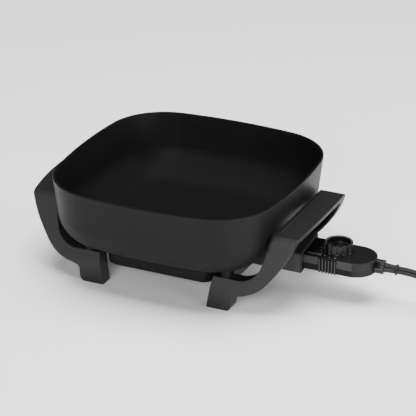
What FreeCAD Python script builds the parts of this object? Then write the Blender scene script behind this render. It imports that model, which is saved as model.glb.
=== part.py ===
import FreeCAD, Part
import math
import os

# An electric skillet: a deep square cast pan on two leg and handle mouldings, heated by
# a sheathed element underneath, with a plug-in temperature control on the right.
# Millimetres. +X points to the control, +Y to the back, +Z up, and the feet stand on z = 0.
# Everything is drawn about the middle of the pan and moved sideways when it is saved,
# so that the saved origin is in the middle of the footprint.

V = FreeCAD.Vector
UP = V(0, 0, 1)
RIGHT = V(1, 0, 0)
BACK = V(0, 1, 0)
CENTRE = V(0, 0, 0)
FAR = 400.0

# Cutting forms run past the piece by the overrun, and picked edges lie near their plane.
# Edges whose directions have this cosine between them count as parallel.
overrun = 1.0
near = 0.01
parallel_ratio = 0.99

# Clearances
seat_gap = 0.1
body_gap = 0.3
running_gap = 0.05

# Pan casting. Places along X further on are given from the pan's side, and heights below it
# and on the control are given from the pan's base.
pan_half_width = 150.1
pan_side_radius = 614.0
pan_corner_radius = 78.5
pan_rim_height = 137.7
pan_base_height = 49.7
pan_taper = 10.0
pan_base_radius = 46.0
pan_wall = 3.2
pan_floor = 5.0
pan_rim_radius = 1.2

# Raised skirt under the pan, round the element
skirt_half_x = pan_half_width - 79.1
skirt_half_y = 94.0
skirt_corner_radius = 14.0
skirt_bottom = pan_base_height - 23.5
skirt_wall = 5.0
skirt_edge_radius = 4.0

# Bosses that carry the pan on its legs, and smaller ones for the guard
boss_x = pan_half_width - 57.6
boss_y = 91.5
boss_radius = 6.2
boss_hole_depth = 6.0
guard_boss_x = pan_half_width - 42.1
guard_boss_y = 27.0
guard_boss_radius = 4.2
guard_boss_bottom = pan_base_height - 4.7

# Heating element, the pad it is sunk in, and its cold ends
element_radius = 3.3
element_half_x = pan_half_width - 93.1
element_half_y = 80.0
element_bend_radius = 16.0
element_height = pan_base_height - 3.7
element_pad_half_width = 6.0
terminal_y = 12.5
terminal_radius = 2.3
terminal_reach = 36.0
terminal_tip_radius = 1.4
insulator_radius = 3.6
insulator_length = 5.0

# Block under the pan that holds the cold ends and the probe's well
block_inner_x = pan_half_width - 104.1
block_outer_x = pan_half_width - 49.1
block_half_y = 20.0
block_bottom = pan_base_height - 9.7
block_radius = 3.0

# Leg and handle moulding, the right-hand one
foot_inner_x = pan_half_width - 80.1
foot_outer_x = pan_half_width - 47.9
foot_outer_radius = 8.0
foot_edge_radius = 1.2
foot_splay = 1.0
shin_start_height = pan_base_height - 29.1
shin_start_radius = 6.0
shin_x = pan_half_width - 12.2
shin_height = pan_base_height - 19.8
shin_radius = 60.0
leg_outer_x = pan_half_width + 18.8
leg_outer_height = 72.6
leg_outer_radius = 150.0
leg_inner_x = pan_half_width - 6.2
leg_inner_height = 85.4
leg_inner_radius = 130.0
leg_hip_x = pan_half_width - 18.3
leg_hip_radius = 28.8
leg_top_height = pan_base_height - 8.2
leg_top_inner_x = pan_half_width - 72.7
leg_top_inner_radius = 1.0
leg_wall = 3.0
foot_front_y = 101.8
foot_back_y = 83.7
leg_back_y = 80.0
leg_bend_height = 28.0
leg_bend_radius = 30.0
grip_end_y = 79.8
grip_end_height = 93.1
grip_bend_radius = 7.5
grip_arch_height = 104.0
grip_arch_slope = 6.7
grip_arch_ratio = 0.98
grip_inner_arch_ratio = 0.85
grip_inner_x = pan_half_width - 4.7
grip_inner_bow = 4.4
grip_outer_x = pan_half_width + 27.3
grip_bulge = 5.6
grip_depth = 5.1
grip_lip_height = 95.0
grip_corner_y = 68.0
grip_corner_radius = 8.0
grip_rib_width = 1.4
grip_rib_rise = 0.8
grip_rib_inset = 4.2
grip_rib_half_length = 62.0
grip_stiffener_count = 5
grip_stiffener_spacing = 24.0
grip_stiffener_wall = 2.0

# Bar that joins the two legs under the pan
bar_inner_x = pan_half_width - 64.1
bar_outer_x = pan_half_width - 51.6
bar_bottom = pan_base_height - 17.7
bar_top = pan_base_height - 2.7
bar_wall = 2.6

# Screws
leg_screw_radius = 2.0
leg_screw_head_radius = 3.9
leg_screw_head_height = 2.6
leg_screw_seat_height = pan_base_height - 16.7
leg_column_radius = 6.0
guard_screw_radius = 1.6
guard_screw_head_radius = 3.0
guard_screw_head_height = 1.2
control_screw_radius = 1.4
control_screw_head_radius = 2.6
control_screw_head_height = 1.6
screw_slot_width_ratio = 0.22
screw_slot_reach_ratio = 0.7
screw_slot_depth_ratio = 0.5

# Guard round the terminals
guard_mouth_x = pan_half_width + 16.4
guard_mouth_slant = 5.5
guard_half_y = 34.0
guard_bottom = pan_base_height - 14.7
guard_top = pan_base_height + 11.8
guard_wall = 2.2
guard_near_radius = 1.5
guard_far_radius = 3.0
guard_edge_radius = 1.8

# Plug-in temperature control
control_back_x = pan_half_width + 100.6
control_front_x = pan_half_width - 15.6
control_half_y = 26.7
control_bottom = pan_base_height - 10.7
control_parting = pan_base_height - 1.2
control_top = pan_base_height + 8.3
control_wall = 1.8
control_top_radius = 1.6
control_bottom_radius = 1.6
control_front_radius = 3.0
control_hollow_radius = 0.5
control_side_swell = 1.2
control_swell_start_x = pan_half_width - 0.1
control_swell_end_x = pan_half_width + 78.9
control_screw_inner_x = pan_half_width + 7.9
control_screw_inner_y = 19.0
control_screw_outer_x = pan_half_width + 85.9
control_screw_outer_y = 11.0
grip_fin_count = 6
grip_fin_first_x = pan_half_width + 36.3
grip_fin_spacing = 4.05
grip_fin_width = 2.0
grip_fin_reach = 2.2
grip_fin_end = 1.0
grip_fin_edge_radius = 0.8
nose_front_x = pan_half_width - 29.1
nose_back_x = pan_half_width + 3.9
nose_half_y = 21.0
nose_top = pan_base_height + 1.2
nose_radius = 1.0
sleeve_wall = 0.9
sleeve_length = 30.0
sleeve_tag_length = 6.0
probe_radius = 2.5
probe_well_gap = 0.3
probe_tip_x = pan_half_width - 95.1
probe_end_x = pan_half_width + 21.9
probe_tip_radius = 2.0
probe_collar_radius = 4.0
probe_collar_length = 4.0

# Temperature dial
dial_x = pan_half_width + 51.1
dial_radius = 17.7
dial_top = pan_base_height + 21.9
dial_wall = 2.5
dial_cup_depth = 8.5
dial_flute_count = 12
dial_flute_radius = 1.7
dial_flute_offset = 0.6
dial_skirt_height = 2.0
dial_edge_radius = 0.8
dial_pointer_width = 1.6
dial_pointer_rise = 0.7
spindle_radius = 3.0
spindle_flat = 2.1
spindle_seat_depth = 1.0
spindle_cam_radius = 5.0
spindle_cam_height = 2.0
cover_collar_radius = 7.0
cover_collar_depth = 2.0

# Thermostat inside the control
frame_length = 54.0
frame_width = 18.0
frame_thickness = 1.0
frame_height = 5.0
frame_start_x = pan_half_width + 15.9
leaf_width = 6.0
leaf_thickness = 0.5
leaf_gap = 1.4
contact_radius = 1.6
spacer_length = 8.0
spacer_height = 2.2

# Signal lamp
lens_x = pan_half_width + 27.1
lens_y = -19.0
lens_length = 18.0
lens_width = 3.4
lens_rise = 0.8
lens_end_radius = 1.5
lamp_radius = 1.7
lamp_length = 10.0

# Strain relief
relief_block_end_x = pan_half_width + 111.9
relief_block_half_y = 8.0
relief_block_half_z = 6.3
relief_block_radius = 2.5
relief_neck_end_x = pan_half_width + 125.9
relief_neck_half_y = 4.4
relief_neck_half_z = 5.2
relief_ring_half_y = 5.4
relief_ring_half_z = 6.2
relief_end_x = pan_half_width + 128.9
relief_inner_x = pan_half_width + 92.9
relief_flange_wall = 2.2
relief_flange_radius = 1.5
relief_round_ratio = 0.8

# Cord, coil, tie and plug
cord_diameter = 10.0
cord_height = pan_base_height - 1.2
coil_turns_in_layer = 1.0
coil_climb_turns = 0.5
coil_outer_radius = 58.0
coil_pitch = 11.2
coil_layer_gap = 0.5
coil_lead_out = 36.0
tie_width = 9.0
tie_thickness = 0.8
tie_angle = 20.0
cord_rest_height = cord_diameter / 2 + tie_thickness + 2 * seat_gap
plug_length = 34.0
plug_neck_length = 12.0
plug_half_width = 10.0
plug_half_height = 13.5
plug_neck_half_width = 6.5
plug_neck_swell = 1.0
plug_neck_radius = 8.0
plug_shoulder = 6.0
plug_shoulder_radius = 5.0
plug_slope_radius = 12.0
plug_end_radius = 2.0
blade_length = 17.0
blade_width = 6.3
blade_wide = 7.9
blade_thickness = 1.5
blade_spacing = 12.7
blade_hole_radius = 1.5
blade_root = 6.0
blade_hole_ratio = 0.75

# The cord's route from the strain relief down to the coil, chosen by hand
cord_route = [
    (relief_end_x, 0.0, cord_height),
    (relief_end_x + 49.0, 0.0, cord_height),
    (relief_end_x + 87.0, -2.0, 16.5),
    (relief_end_x + 113.0, -3.0, cord_rest_height),
    (relief_end_x + 141.0, -3.0, cord_rest_height),
]


def flat_xy(u, v):
    return V(u, v, 0)


def flat_xz(u, v):
    return V(u, 0, v)


def flat_yz(u, v):
    return V(0, u, v)


def rounded_outline(corners, place):
    """Closed wire of straight runs whose corners (u, v, radius) are rounded by tangent arcs."""
    starts = []
    middles = []
    ends = []
    count = len(corners)
    for i in range(count):
        u, v, radius = corners[i]
        here = V(u, v, 0)
        back = V(corners[i - 1][0], corners[i - 1][1], 0) - here
        ahead = V(corners[(i + 1) % count][0], corners[(i + 1) % count][1], 0) - here
        back.normalize()
        ahead.normalize()
        half_angle = back.getAngle(ahead) / 2
        reach = radius / math.tan(half_angle)
        inward = back + ahead
        if radius > 0:
            inward.normalize()
        centre = here + inward * (radius / math.sin(half_angle))
        starts.append(here + back * reach)
        middles.append(centre - inward * radius)
        ends.append(here + ahead * reach)
    edges = []
    for i in range(count):
        following = starts[(i + 1) % count]
        if corners[i][2] > 0:
            points = [place(p.x, p.y) for p in (starts[i], middles[i], ends[i])]
            edges.append(Part.Arc(*points).toShape())
        if (following - ends[i]).Length > near / 1000:
            edges.append(Part.makeLine(place(ends[i].x, ends[i].y), place(following.x, following.y)))
    return Part.Wire(edges)


def prism(outline, start, travel):
    """Solid made by moving an outline, first by start and then along travel."""
    face = Part.Face(outline)
    face.translate(start)
    return face.extrude(travel)


def upright(outline, low, high):
    return prism(outline, UP * low, UP * (high - low))


def box(low, high):
    return Part.makeBox(high[0] - low[0], high[1] - low[1], high[2] - low[2], V(*low))


def rounded_block(low, high, radius, axis):
    """Box from low to high whose edges along one axis are rounded."""
    solid = box(low, high)
    edges = [e for e in solid.Edges if abs(e.tangentAt(e.FirstParameter).dot(axis)) > parallel_ratio]
    return solid.makeFillet(radius, edges)


def rod(radius, start, end):
    line = V(*end) - V(*start)
    return Part.makeCylinder(radius, line.Length, V(*start), line)


def rectangle(half_x, half_y, radius):
    corners = [
        (half_x, half_y, radius),
        (-half_x, half_y, radius),
        (-half_x, -half_y, radius),
        (half_x, -half_y, radius),
    ]
    return rounded_outline(corners, flat_xy)


def mirrored_y(shape):
    return shape.mirror(CENTRE, BACK)


def both_sides_y(shape):
    return [shape, mirrored_y(shape)]


def one_solid(shape):
    return shape.removeSplitter()


# Pan casting


def pan_outline(inset, height):
    """Square plan outline with bowed sides and round corners, at an inset from the rim."""
    side_centre = pan_half_width - pan_side_radius
    reach = pan_side_radius - pan_corner_radius
    corner = (side_centre + math.sqrt(2 * reach * reach - side_centre * side_centre)) / 2
    side_angle = math.degrees(math.atan2(corner, corner - side_centre))
    edges = []
    for quarter in range(4):
        turn = 90 * quarter
        side = Part.makeCircle(
            pan_side_radius - inset, V(side_centre, 0, height), UP, -side_angle, side_angle
        )
        bend = Part.makeCircle(
            pan_corner_radius - inset, V(corner, corner, height), UP, side_angle, 90 - side_angle
        )
        for edge in (side, bend):
            edge.rotate(CENTRE, UP, turn)
            edges.append(edge)
    return Part.Wire(edges)


def pan_form(inset, base_height, top_height, base_radius):
    """Solid with the pan's leaning sides and rounded base, drawn in by an inset."""
    lean = pan_taper / (pan_rim_height - pan_base_height)
    top_inset = inset + (pan_rim_height - top_height) * lean
    base_inset = inset + (pan_rim_height - base_height) * lean
    wires = [pan_outline(top_inset, top_height), pan_outline(base_inset, base_height)]
    solid = Part.makeLoft(wires, True, True)
    base_edges = [e for e in solid.Edges if e.BoundBox.ZMax < base_height + near]
    return solid.makeFillet(base_radius, base_edges)


def pan_outside():
    return pan_form(0, pan_base_height, pan_rim_height, pan_base_radius)


def pan_inside():
    """The space in the pan, carried a little above the rim so that it cuts cleanly."""
    floor_height = pan_base_height + pan_floor
    return pan_form(pan_wall, floor_height, pan_rim_height + overrun, pan_base_radius - pan_wall)


def element_path(lead_x):
    """Centre line of the heating element: two straight leads and one loop."""
    corners = [
        (lead_x, terminal_y),
        (element_half_x, terminal_y),
        (element_half_x, element_half_y),
        (-element_half_x, element_half_y),
        (-element_half_x, -element_half_y),
        (element_half_x, -element_half_y),
        (element_half_x, -terminal_y),
        (lead_x, -terminal_y),
    ]
    radii = [0] + [element_bend_radius] * 6 + [0]
    points = [(x, y, r) for (x, y), r in zip(corners, radii)]
    closed = rounded_outline(points, lambda u, v: V(u, v, element_height))
    ends = [e for e in closed.Edges if e.BoundBox.XMin > lead_x - near]
    return Part.Wire([e for e in closed.Edges if not any(e.isSame(end) for end in ends)])


def element_tube(radius, lead_x):
    path = element_path(lead_x)
    start = V(lead_x, terminal_y, element_height)
    section = Part.Wire([Part.makeCircle(radius, start, RIGHT)])
    return path.makePipeShell([section], True, False)


def skirt():
    outer = rectangle(skirt_half_x, skirt_half_y, skirt_corner_radius)
    solid = upright(outer, skirt_bottom, pan_base_height + pan_floor / 2)
    edges = [e for e in solid.Edges if e.BoundBox.ZMax < skirt_bottom + near]
    solid = solid.makeFillet(skirt_edge_radius, edges)
    inner = rectangle(
        skirt_half_x - skirt_wall, skirt_half_y - skirt_wall, skirt_corner_radius - skirt_wall
    )
    return solid.cut(upright(inner, skirt_bottom - overrun, pan_base_height))


def element_pad():
    """Flat raised ring under the floor that the element is half sunk in."""
    reach = element_pad_half_width
    outer = rectangle(element_half_x + reach, element_half_y + reach, element_bend_radius + reach)
    inner = rectangle(element_half_x - reach, element_half_y - reach, element_bend_radius - reach)
    top = pan_base_height + pan_floor / 2
    return upright(outer, element_height, top).cut(upright(inner, element_height - overrun, pan_base_height))


def leg_boss_places():
    return [(side_x * boss_x, side_y * boss_y) for side_x in (-1, 1) for side_y in (-1, 1)]


def guard_boss_places():
    return [(guard_boss_x, side_y * guard_boss_y) for side_y in (-1, 1)]


def pan_bosses():
    """Bosses for the leg screws and guard screws; what would stand in the pan is cut later."""
    top = pan_base_height + 2 * pan_floor
    bosses = [rod(boss_radius, (x, y, leg_top_height), (x, y, top)) for x, y in leg_boss_places()]
    for x, y in guard_boss_places():
        bosses.append(rod(guard_boss_radius, (x, y, guard_boss_bottom), (x, y, top)))
    return bosses


def pan_boss_holes():
    holes = []
    for x, y in leg_boss_places():
        holes.append(rod(leg_screw_radius + running_gap, (x, y, leg_top_height - overrun),
                         (x, y, leg_top_height + boss_hole_depth)))
    for x, y in guard_boss_places():
        holes.append(rod(guard_screw_radius + running_gap, (x, y, guard_boss_bottom - overrun),
                         (x, y, guard_boss_bottom + boss_hole_depth)))
    return holes


def terminal_block():
    low = (block_inner_x, -block_half_y, block_bottom)
    high = (block_outer_x, block_half_y, pan_base_height + pan_floor / 2)
    return rounded_block(low, high, block_radius, UP)


def probe_well():
    start = (probe_tip_x - body_gap, 0, element_height)
    return rod(probe_radius + probe_well_gap, start, (block_outer_x + overrun, 0, element_height))


def make_pan():
    """Cast pan with its skirt, pad, bosses and terminal block, hollowed and drilled."""
    pan = pan_outside().fuse([skirt(), element_pad(), terminal_block()] + pan_bosses())
    cuts = [pan_inside(), element_tube(element_radius + seat_gap, block_outer_x + overrun), probe_well()]
    pan = one_solid(pan.cut(cuts + pan_boss_holes()))
    rim_edges = [e for e in pan.Edges if e.BoundBox.ZMin > pan_rim_height - near]
    return pan.makeFillet(pan_rim_radius, rim_edges)


# Heating element, terminals and their insulators


def make_element():
    return element_tube(element_radius, block_outer_x)


def insulator_end_x():
    return block_outer_x + insulator_length


def make_insulators():
    """Ceramic bush round each cold end, seated against the block."""
    bush = rod(insulator_radius, (block_outer_x, terminal_y, element_height),
               (insulator_end_x(), terminal_y, element_height))
    bore = rod(terminal_radius + running_gap, (block_outer_x - overrun, terminal_y, element_height),
               (insulator_end_x() + overrun, terminal_y, element_height))
    return Part.makeCompound(both_sides_y(bush.cut(bore)))


def terminal_tip_x():
    return block_outer_x + terminal_reach


def make_terminals():
    """The two contact pins, each with a rounded tip."""
    pin = rod(terminal_radius, (block_outer_x, terminal_y, element_height),
              (terminal_tip_x(), terminal_y, element_height))
    tip_edges = [e for e in pin.Edges if e.BoundBox.XMin > terminal_tip_x() - near]
    pin = pin.makeFillet(terminal_tip_radius, tip_edges)
    return Part.makeCompound(both_sides_y(pin))


# Leg and handle mouldings


def leg_front_outline():
    """Front view of a leg and grip end: foot, curved shin, and the shelf where the grip starts."""
    beyond_x = grip_outer_x + 3 * grip_bulge
    above = grip_arch_height + 2 * grip_depth
    corners = [
        (foot_inner_x, 0, foot_edge_radius),
        (foot_outer_x, 0, foot_outer_radius),
        (foot_outer_x + foot_splay, shin_start_height, shin_start_radius),
        (shin_x, shin_height, shin_radius),
        (leg_outer_x, leg_outer_height, leg_outer_radius),
        (grip_outer_x, grip_lip_height, 0),
        (beyond_x, grip_lip_height, 0),
        (beyond_x, above, 0),
        (grip_inner_x, above, 0),
        (leg_inner_x, leg_inner_height, leg_inner_radius),
        (leg_hip_x, leg_top_height, leg_hip_radius),
        (leg_top_inner_x, leg_top_height, leg_top_inner_radius),
    ]
    return rounded_outline(corners, flat_xz)


def arch_slope():
    return math.tan(math.radians(grip_arch_slope))


def arch_radius():
    half_arch = grip_end_y - grip_bend_radius
    return half_arch / math.sin(math.radians(grip_arch_slope))


def arch_apex():
    """Height at which the end tangents of the grip's arch meet over its middle."""
    rise = arch_radius() * (1 - math.cos(math.radians(grip_arch_slope)))
    return grip_arch_height - rise + (grip_end_y - grip_bend_radius) * arch_slope()


def handle_side_outline():
    """Side view of the whole moulding, from the front foot over the arched grip to the back foot."""
    slope = arch_slope()
    lean = (foot_front_y - grip_end_y) / (grip_end_height - leg_bend_height)
    # Where the sloping leg line meets the tangent of the arch
    bend_z = (arch_apex() - slope * (foot_front_y + lean * leg_bend_height)) / (1 - slope * lean)
    bend_y = foot_front_y - lean * (bend_z - leg_bend_height)
    corners = [
        (-foot_front_y, 0, foot_edge_radius),
        (foot_front_y, 0, foot_edge_radius),
        (foot_front_y, leg_bend_height, leg_bend_radius),
        (bend_y, bend_z, grip_bend_radius),
        (0, arch_apex(), arch_radius() * grip_arch_ratio),
        (-bend_y, bend_z, grip_bend_radius),
        (-foot_front_y, leg_bend_height, leg_bend_radius),
    ]
    return rounded_outline(corners, flat_yz)


def handle_inner_outline():
    """Side view of the open space between the legs and under the grip, which follows its arch."""
    apex = arch_apex() - grip_depth / math.cos(math.radians(grip_arch_slope))
    low = apex - grip_corner_y * arch_slope()
    corners = [
        (-foot_back_y, -overrun, 0),
        (foot_back_y, -overrun, 0),
        (leg_back_y, leg_top_height, leg_bend_radius),
        (grip_corner_y, low, grip_corner_radius),
        (0, apex, arch_radius() * grip_inner_arch_ratio),
        (-grip_corner_y, low, grip_corner_radius),
        (-leg_back_y, leg_top_height, leg_bend_radius),
    ]
    return rounded_outline(corners, flat_yz)


def grip_plan_outline():
    """Plan of the moulding: straight on the pan side, bowed on the outside."""
    half = grip_end_y
    bulge_radius = (half * half + grip_bulge * grip_bulge) / (2 * grip_bulge)
    slope = math.tan(math.asin(half / bulge_radius))
    inner_x = foot_inner_x - 2 * leg_wall
    front_y = foot_front_y + leg_wall
    corners = [
        (inner_x, -front_y, 0),
        (grip_outer_x, -front_y, 0),
        (grip_outer_x, -half - overrun, 0),
        (grip_outer_x + half * slope, 0, bulge_radius * grip_arch_ratio),
        (grip_outer_x, half + overrun, 0),
        (grip_outer_x, front_y, 0),
        (inner_x, front_y, 0),
    ]
    return rounded_outline(corners, flat_xy)


def shrunk(outline, amount):
    return outline.makeOffset2D(-amount, 2)


def grip_inner_disc(amount):
    """Round column whose far side is the bowed pan-side edge of the grip, grown by an amount."""
    radius = (grip_end_y * grip_end_y + grip_inner_bow * grip_inner_bow) / (2 * grip_inner_bow)
    centre_x = grip_inner_x + grip_inner_bow - radius
    return rod(radius + amount, (centre_x, 0, grip_end_height), (centre_x, 0, FAR))


def handle_views(amount):
    """The three views of the moulding crossed into one solid, each drawn in by an amount."""
    fronts = leg_front_outline()
    sides = handle_side_outline()
    plan = grip_plan_outline()
    if amount > 0:
        fronts = shrunk(fronts, amount)
        sides = shrunk(sides, amount)
        plan = shrunk(plan, amount)
    solid = prism(fronts, BACK * -FAR / 2, BACK * FAR)
    solid = solid.common(prism(sides, RIGHT * 0, RIGHT * FAR))
    solid = solid.common(prism(plan, UP * -FAR / 2, UP * FAR))
    return solid.cut(grip_inner_disc(amount))


def grip_rib():
    """Thin raised line along the pan side of the grip, following its arch and its bow."""
    raised = prism(handle_side_outline(), CENTRE, RIGHT * FAR)
    raised.translate(UP * grip_rib_rise)
    band = grip_inner_disc(grip_rib_inset + grip_rib_width).cut(grip_inner_disc(grip_rib_inset))
    length = box((0, -grip_rib_half_length, grip_end_height + grip_depth),
                 (FAR, grip_rib_half_length, FAR))
    return raised.common(band).common(length)


def grip_stiffeners():
    """Cross ribs that stiffen the hollow underside of the grip."""
    solids = []
    for i in range(grip_stiffener_count):
        y = (i - (grip_stiffener_count - 1) / 2) * grip_stiffener_spacing
        low = (grip_inner_x, y - grip_stiffener_wall / 2, grip_end_height)
        high = (FAR, y + grip_stiffener_wall / 2, FAR)
        solids.append(box(low, high))
    opening = prism(handle_inner_outline(), CENTRE, RIGHT * FAR)
    cross = handle_views(leg_wall / 2).cut(opening)
    return [s.common(cross) for s in solids]


def screw_column(side_y):
    """Solid column inside the foot that the leg screw pulls against."""
    y = side_y * boss_y
    return rod(leg_column_radius, (boss_x, y, leg_screw_seat_height), (boss_x, y, leg_top_height))


def screw_passage(side_y):
    """Clearance hole through the column, and the wider way in for the screw and its driver."""
    y = side_y * boss_y
    narrow = rod(leg_screw_radius + body_gap, (boss_x, y, 0), (boss_x, y, leg_top_height + overrun))
    wide = rod(leg_screw_head_radius + body_gap, (boss_x, y, -overrun), (boss_x, y, leg_screw_seat_height))
    return narrow.fuse(wide)


def cross_bar():
    """Inverted channel between the legs."""
    half = leg_back_y + leg_wall
    outer = box((bar_inner_x, -half, bar_bottom), (bar_outer_x, half, bar_top))
    inner = box((bar_inner_x + bar_wall, -half + bar_wall, bar_bottom - overrun),
                (bar_outer_x - bar_wall, half - bar_wall, bar_top - bar_wall))
    return outer.cut(inner)


def bar_notch():
    """Way through the bar for the terminal block."""
    half = block_half_y + body_gap
    return box((0, -half, block_bottom - body_gap), (bar_outer_x + overrun, half, bar_top + overrun))


def make_handle(right_hand):
    """One moulding: grip, two legs and the bar under the pan, open on its inside."""
    shell = handle_views(0).cut(prism(handle_inner_outline(), CENTRE, RIGHT * FAR))
    shell = shell.cut(handle_views(leg_wall))
    additions = [cross_bar(), grip_rib()] + grip_stiffeners()
    for side_y in (-1, 1):
        additions.append(screw_column(side_y))
    handle = shell.fuse(additions)
    cuts = [screw_passage(-1), screw_passage(1)]
    if right_hand:
        cuts.append(bar_notch())
    handle = one_solid(handle.cut(cuts))
    return handle if right_hand else handle.mirror(CENTRE, RIGHT)


# Screws that hold the legs and the guard


def pan_head_screw(radius, head_radius, head_height, bottom, top, x, y):
    """Upright screw with its round head at the bottom and a cross slot in the head."""
    shank = rod(radius, (x, y, bottom + head_height), (x, y, top))
    head = rod(head_radius, (x, y, bottom), (x, y, bottom + head_height))
    slot = head_radius * screw_slot_width_ratio
    reach = head_radius * screw_slot_reach_ratio
    low = bottom - overrun
    high = bottom + head_height * screw_slot_depth_ratio
    cross = box((x - reach, y - slot, low), (x + reach, y + slot, high))
    cross = cross.fuse(box((x - slot, y - reach, low), (x + slot, y + reach, high)))
    return shank.fuse(head.cut(cross))


def make_leg_screws():
    bottom = leg_screw_seat_height - leg_screw_head_height
    top = leg_top_height + boss_hole_depth - overrun
    return Part.makeCompound([
        pan_head_screw(leg_screw_radius, leg_screw_head_radius, leg_screw_head_height,
                       bottom, top, x, y)
        for x, y in leg_boss_places()
    ])


def make_guard_screws():
    top = guard_boss_bottom + boss_hole_depth - overrun
    return Part.makeCompound([
        pan_head_screw(guard_screw_radius, guard_screw_head_radius, guard_screw_head_height,
                       guard_bottom, top, x, y)
        for x, y in guard_boss_places()
    ])


# Guard round the terminals


def guard_plan(half_y, mouth_x, back_x, near_radius, far_radius):
    corners = [
        (back_x, -half_y, 0),
        (mouth_x, -half_y, near_radius),
        (mouth_x - guard_mouth_slant, half_y, far_radius),
        (back_x, half_y, 0),
    ]
    return rounded_outline(corners, flat_xy)


def make_guard():
    """Shroud fixed under the pan, open on the right, that the control slides into."""
    back_x = bar_outer_x + body_gap
    plan = guard_plan(guard_half_y, guard_mouth_x, back_x, guard_near_radius, guard_far_radius)
    guard = upright(plan, guard_bottom, guard_top)
    long_edges = [
        e
        for e in guard.Edges
        if abs(e.tangentAt(e.FirstParameter).dot(RIGHT)) > parallel_ratio and e.Length > guard_half_y
    ]
    guard = guard.makeFillet(guard_edge_radius, long_edges)
    inner_half = guard_half_y - guard_wall
    hollow = box((back_x + guard_wall, -inner_half, guard_bottom + guard_wall),
                 (FAR, inner_half, guard_top - guard_wall))
    guard = guard.cut(hollow)
    guard = guard.fuse([
        rod(guard_boss_radius, (x, y, guard_bottom), (x, y, guard_boss_bottom))
        for x, y in guard_boss_places()
    ])
    way_in = box((0, -block_half_y - body_gap, block_bottom - body_gap),
                 (back_x + 2 * guard_wall, block_half_y + body_gap, guard_top + overrun))
    cuts = [way_in]
    for x, y in guard_boss_places():
        cuts.append(rod(guard_screw_radius + seat_gap, (x, y, 0), (x, y, guard_top)))
        cuts.append(rod(guard_screw_head_radius + seat_gap, (x, y, 0),
                        (x, y, guard_bottom + guard_screw_head_height)))
        cuts.append(rod(guard_boss_radius + body_gap, (x, y, guard_boss_bottom), (x, y, FAR)))
    pan_space = pan_outside()
    pan_space.translate(V(body_gap, 0, -body_gap))
    cuts.append(pan_space)
    return one_solid(guard.cut(cuts))


# Control shells


def control_plan(inset, front_x):
    half = control_half_y - inset
    back = control_back_x - inset
    front = max(control_front_radius - inset, control_hollow_radius)
    corners = [
        (front_x, -half, front),
        (back, -half, half),
        (back, half, half),
        (front_x, half, front),
    ]
    return rounded_outline(corners, flat_xy)


def side_wedge(low, high, near_edge_z):
    """Swelling on the near side of the control, widest at the parting line."""
    half = control_half_y
    corners = [
        (-half + control_wall / 2, low, 0),
        (-half, low, 0),
        (-half - control_side_swell, near_edge_z, 0),
        (-half, high, 0),
        (-half + control_wall / 2, high, 0),
    ]
    if near_edge_z == low:
        corners.pop(1)
    if near_edge_z == high:
        corners.pop(3)
    outline = rounded_outline(corners, flat_yz)
    return prism(outline, RIGHT * control_swell_start_x,
                 RIGHT * (control_swell_end_x - control_swell_start_x))


def side_fins(low, high):
    """Upright finger grips on the near side."""
    fins = []
    outer = control_half_y + grip_fin_reach
    for i in range(grip_fin_count):
        x = grip_fin_first_x + i * grip_fin_spacing
        fin = box((x, -outer, low), (x + grip_fin_width, -control_half_y + control_wall / 2, high))
        edges = [
            e
            for e in fin.Edges
            if e.BoundBox.YMax < -outer + near and abs(e.tangentAt(e.FirstParameter).z) > parallel_ratio
        ]
        fins.append(fin.makeFillet(grip_fin_edge_radius, edges))
    return fins


def both_sides(solids):
    return solids + [mirrored_y(s) for s in solids]


def relief_slot():
    """Opening in the round end for the neck of the strain relief."""
    half_y = relief_neck_half_y + seat_gap
    half_z = relief_neck_half_z + seat_gap
    return box((relief_inner_x, -half_y, cord_height - half_z), (FAR, half_y, cord_height + half_z))


def nose_opening():
    half = nose_half_y + seat_gap
    return box((0, -half, control_bottom + control_wall), (control_front_x + 2 * control_wall,
               half, nose_top + seat_gap))


def control_screw_places():
    return [
        (control_screw_inner_x, -control_screw_inner_y),
        (control_screw_inner_x, control_screw_inner_y),
        (control_screw_outer_x, -control_screw_outer_y),
        (control_screw_outer_x, control_screw_outer_y),
    ]


def control_columns(radius, low, high):
    return [rod(radius, (x, y, low), (x, y, high)) for x, y in control_screw_places()]


def make_control_base():
    """Lower half of the control: tray with finger grips and screw bosses."""
    solid = upright(control_plan(0, control_front_x), control_bottom, control_parting)
    edges = [e for e in solid.Edges if e.BoundBox.ZMax < control_bottom + near]
    solid = solid.makeFillet(control_bottom_radius, edges)
    hollow = upright(control_plan(control_wall, control_front_x + control_wall),
                     control_bottom + control_wall, control_parting + overrun)
    base = solid.cut(hollow)
    additions = both_sides([side_wedge(control_bottom + control_bottom_radius, control_parting,
                                       control_parting)]
                           + side_fins(control_bottom, control_parting))
    additions += control_columns(2 * control_screw_radius, control_bottom + control_wall,
                                 control_parting)
    base = base.fuse(additions)
    cuts = [relief_slot(), nose_opening()]
    cuts += control_columns(control_screw_radius + seat_gap, 0, control_parting + overrun)
    cuts += control_columns(control_screw_head_radius + seat_gap, 0,
                            control_bottom + control_screw_head_height)
    return one_solid(base.cut(cuts))


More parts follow.
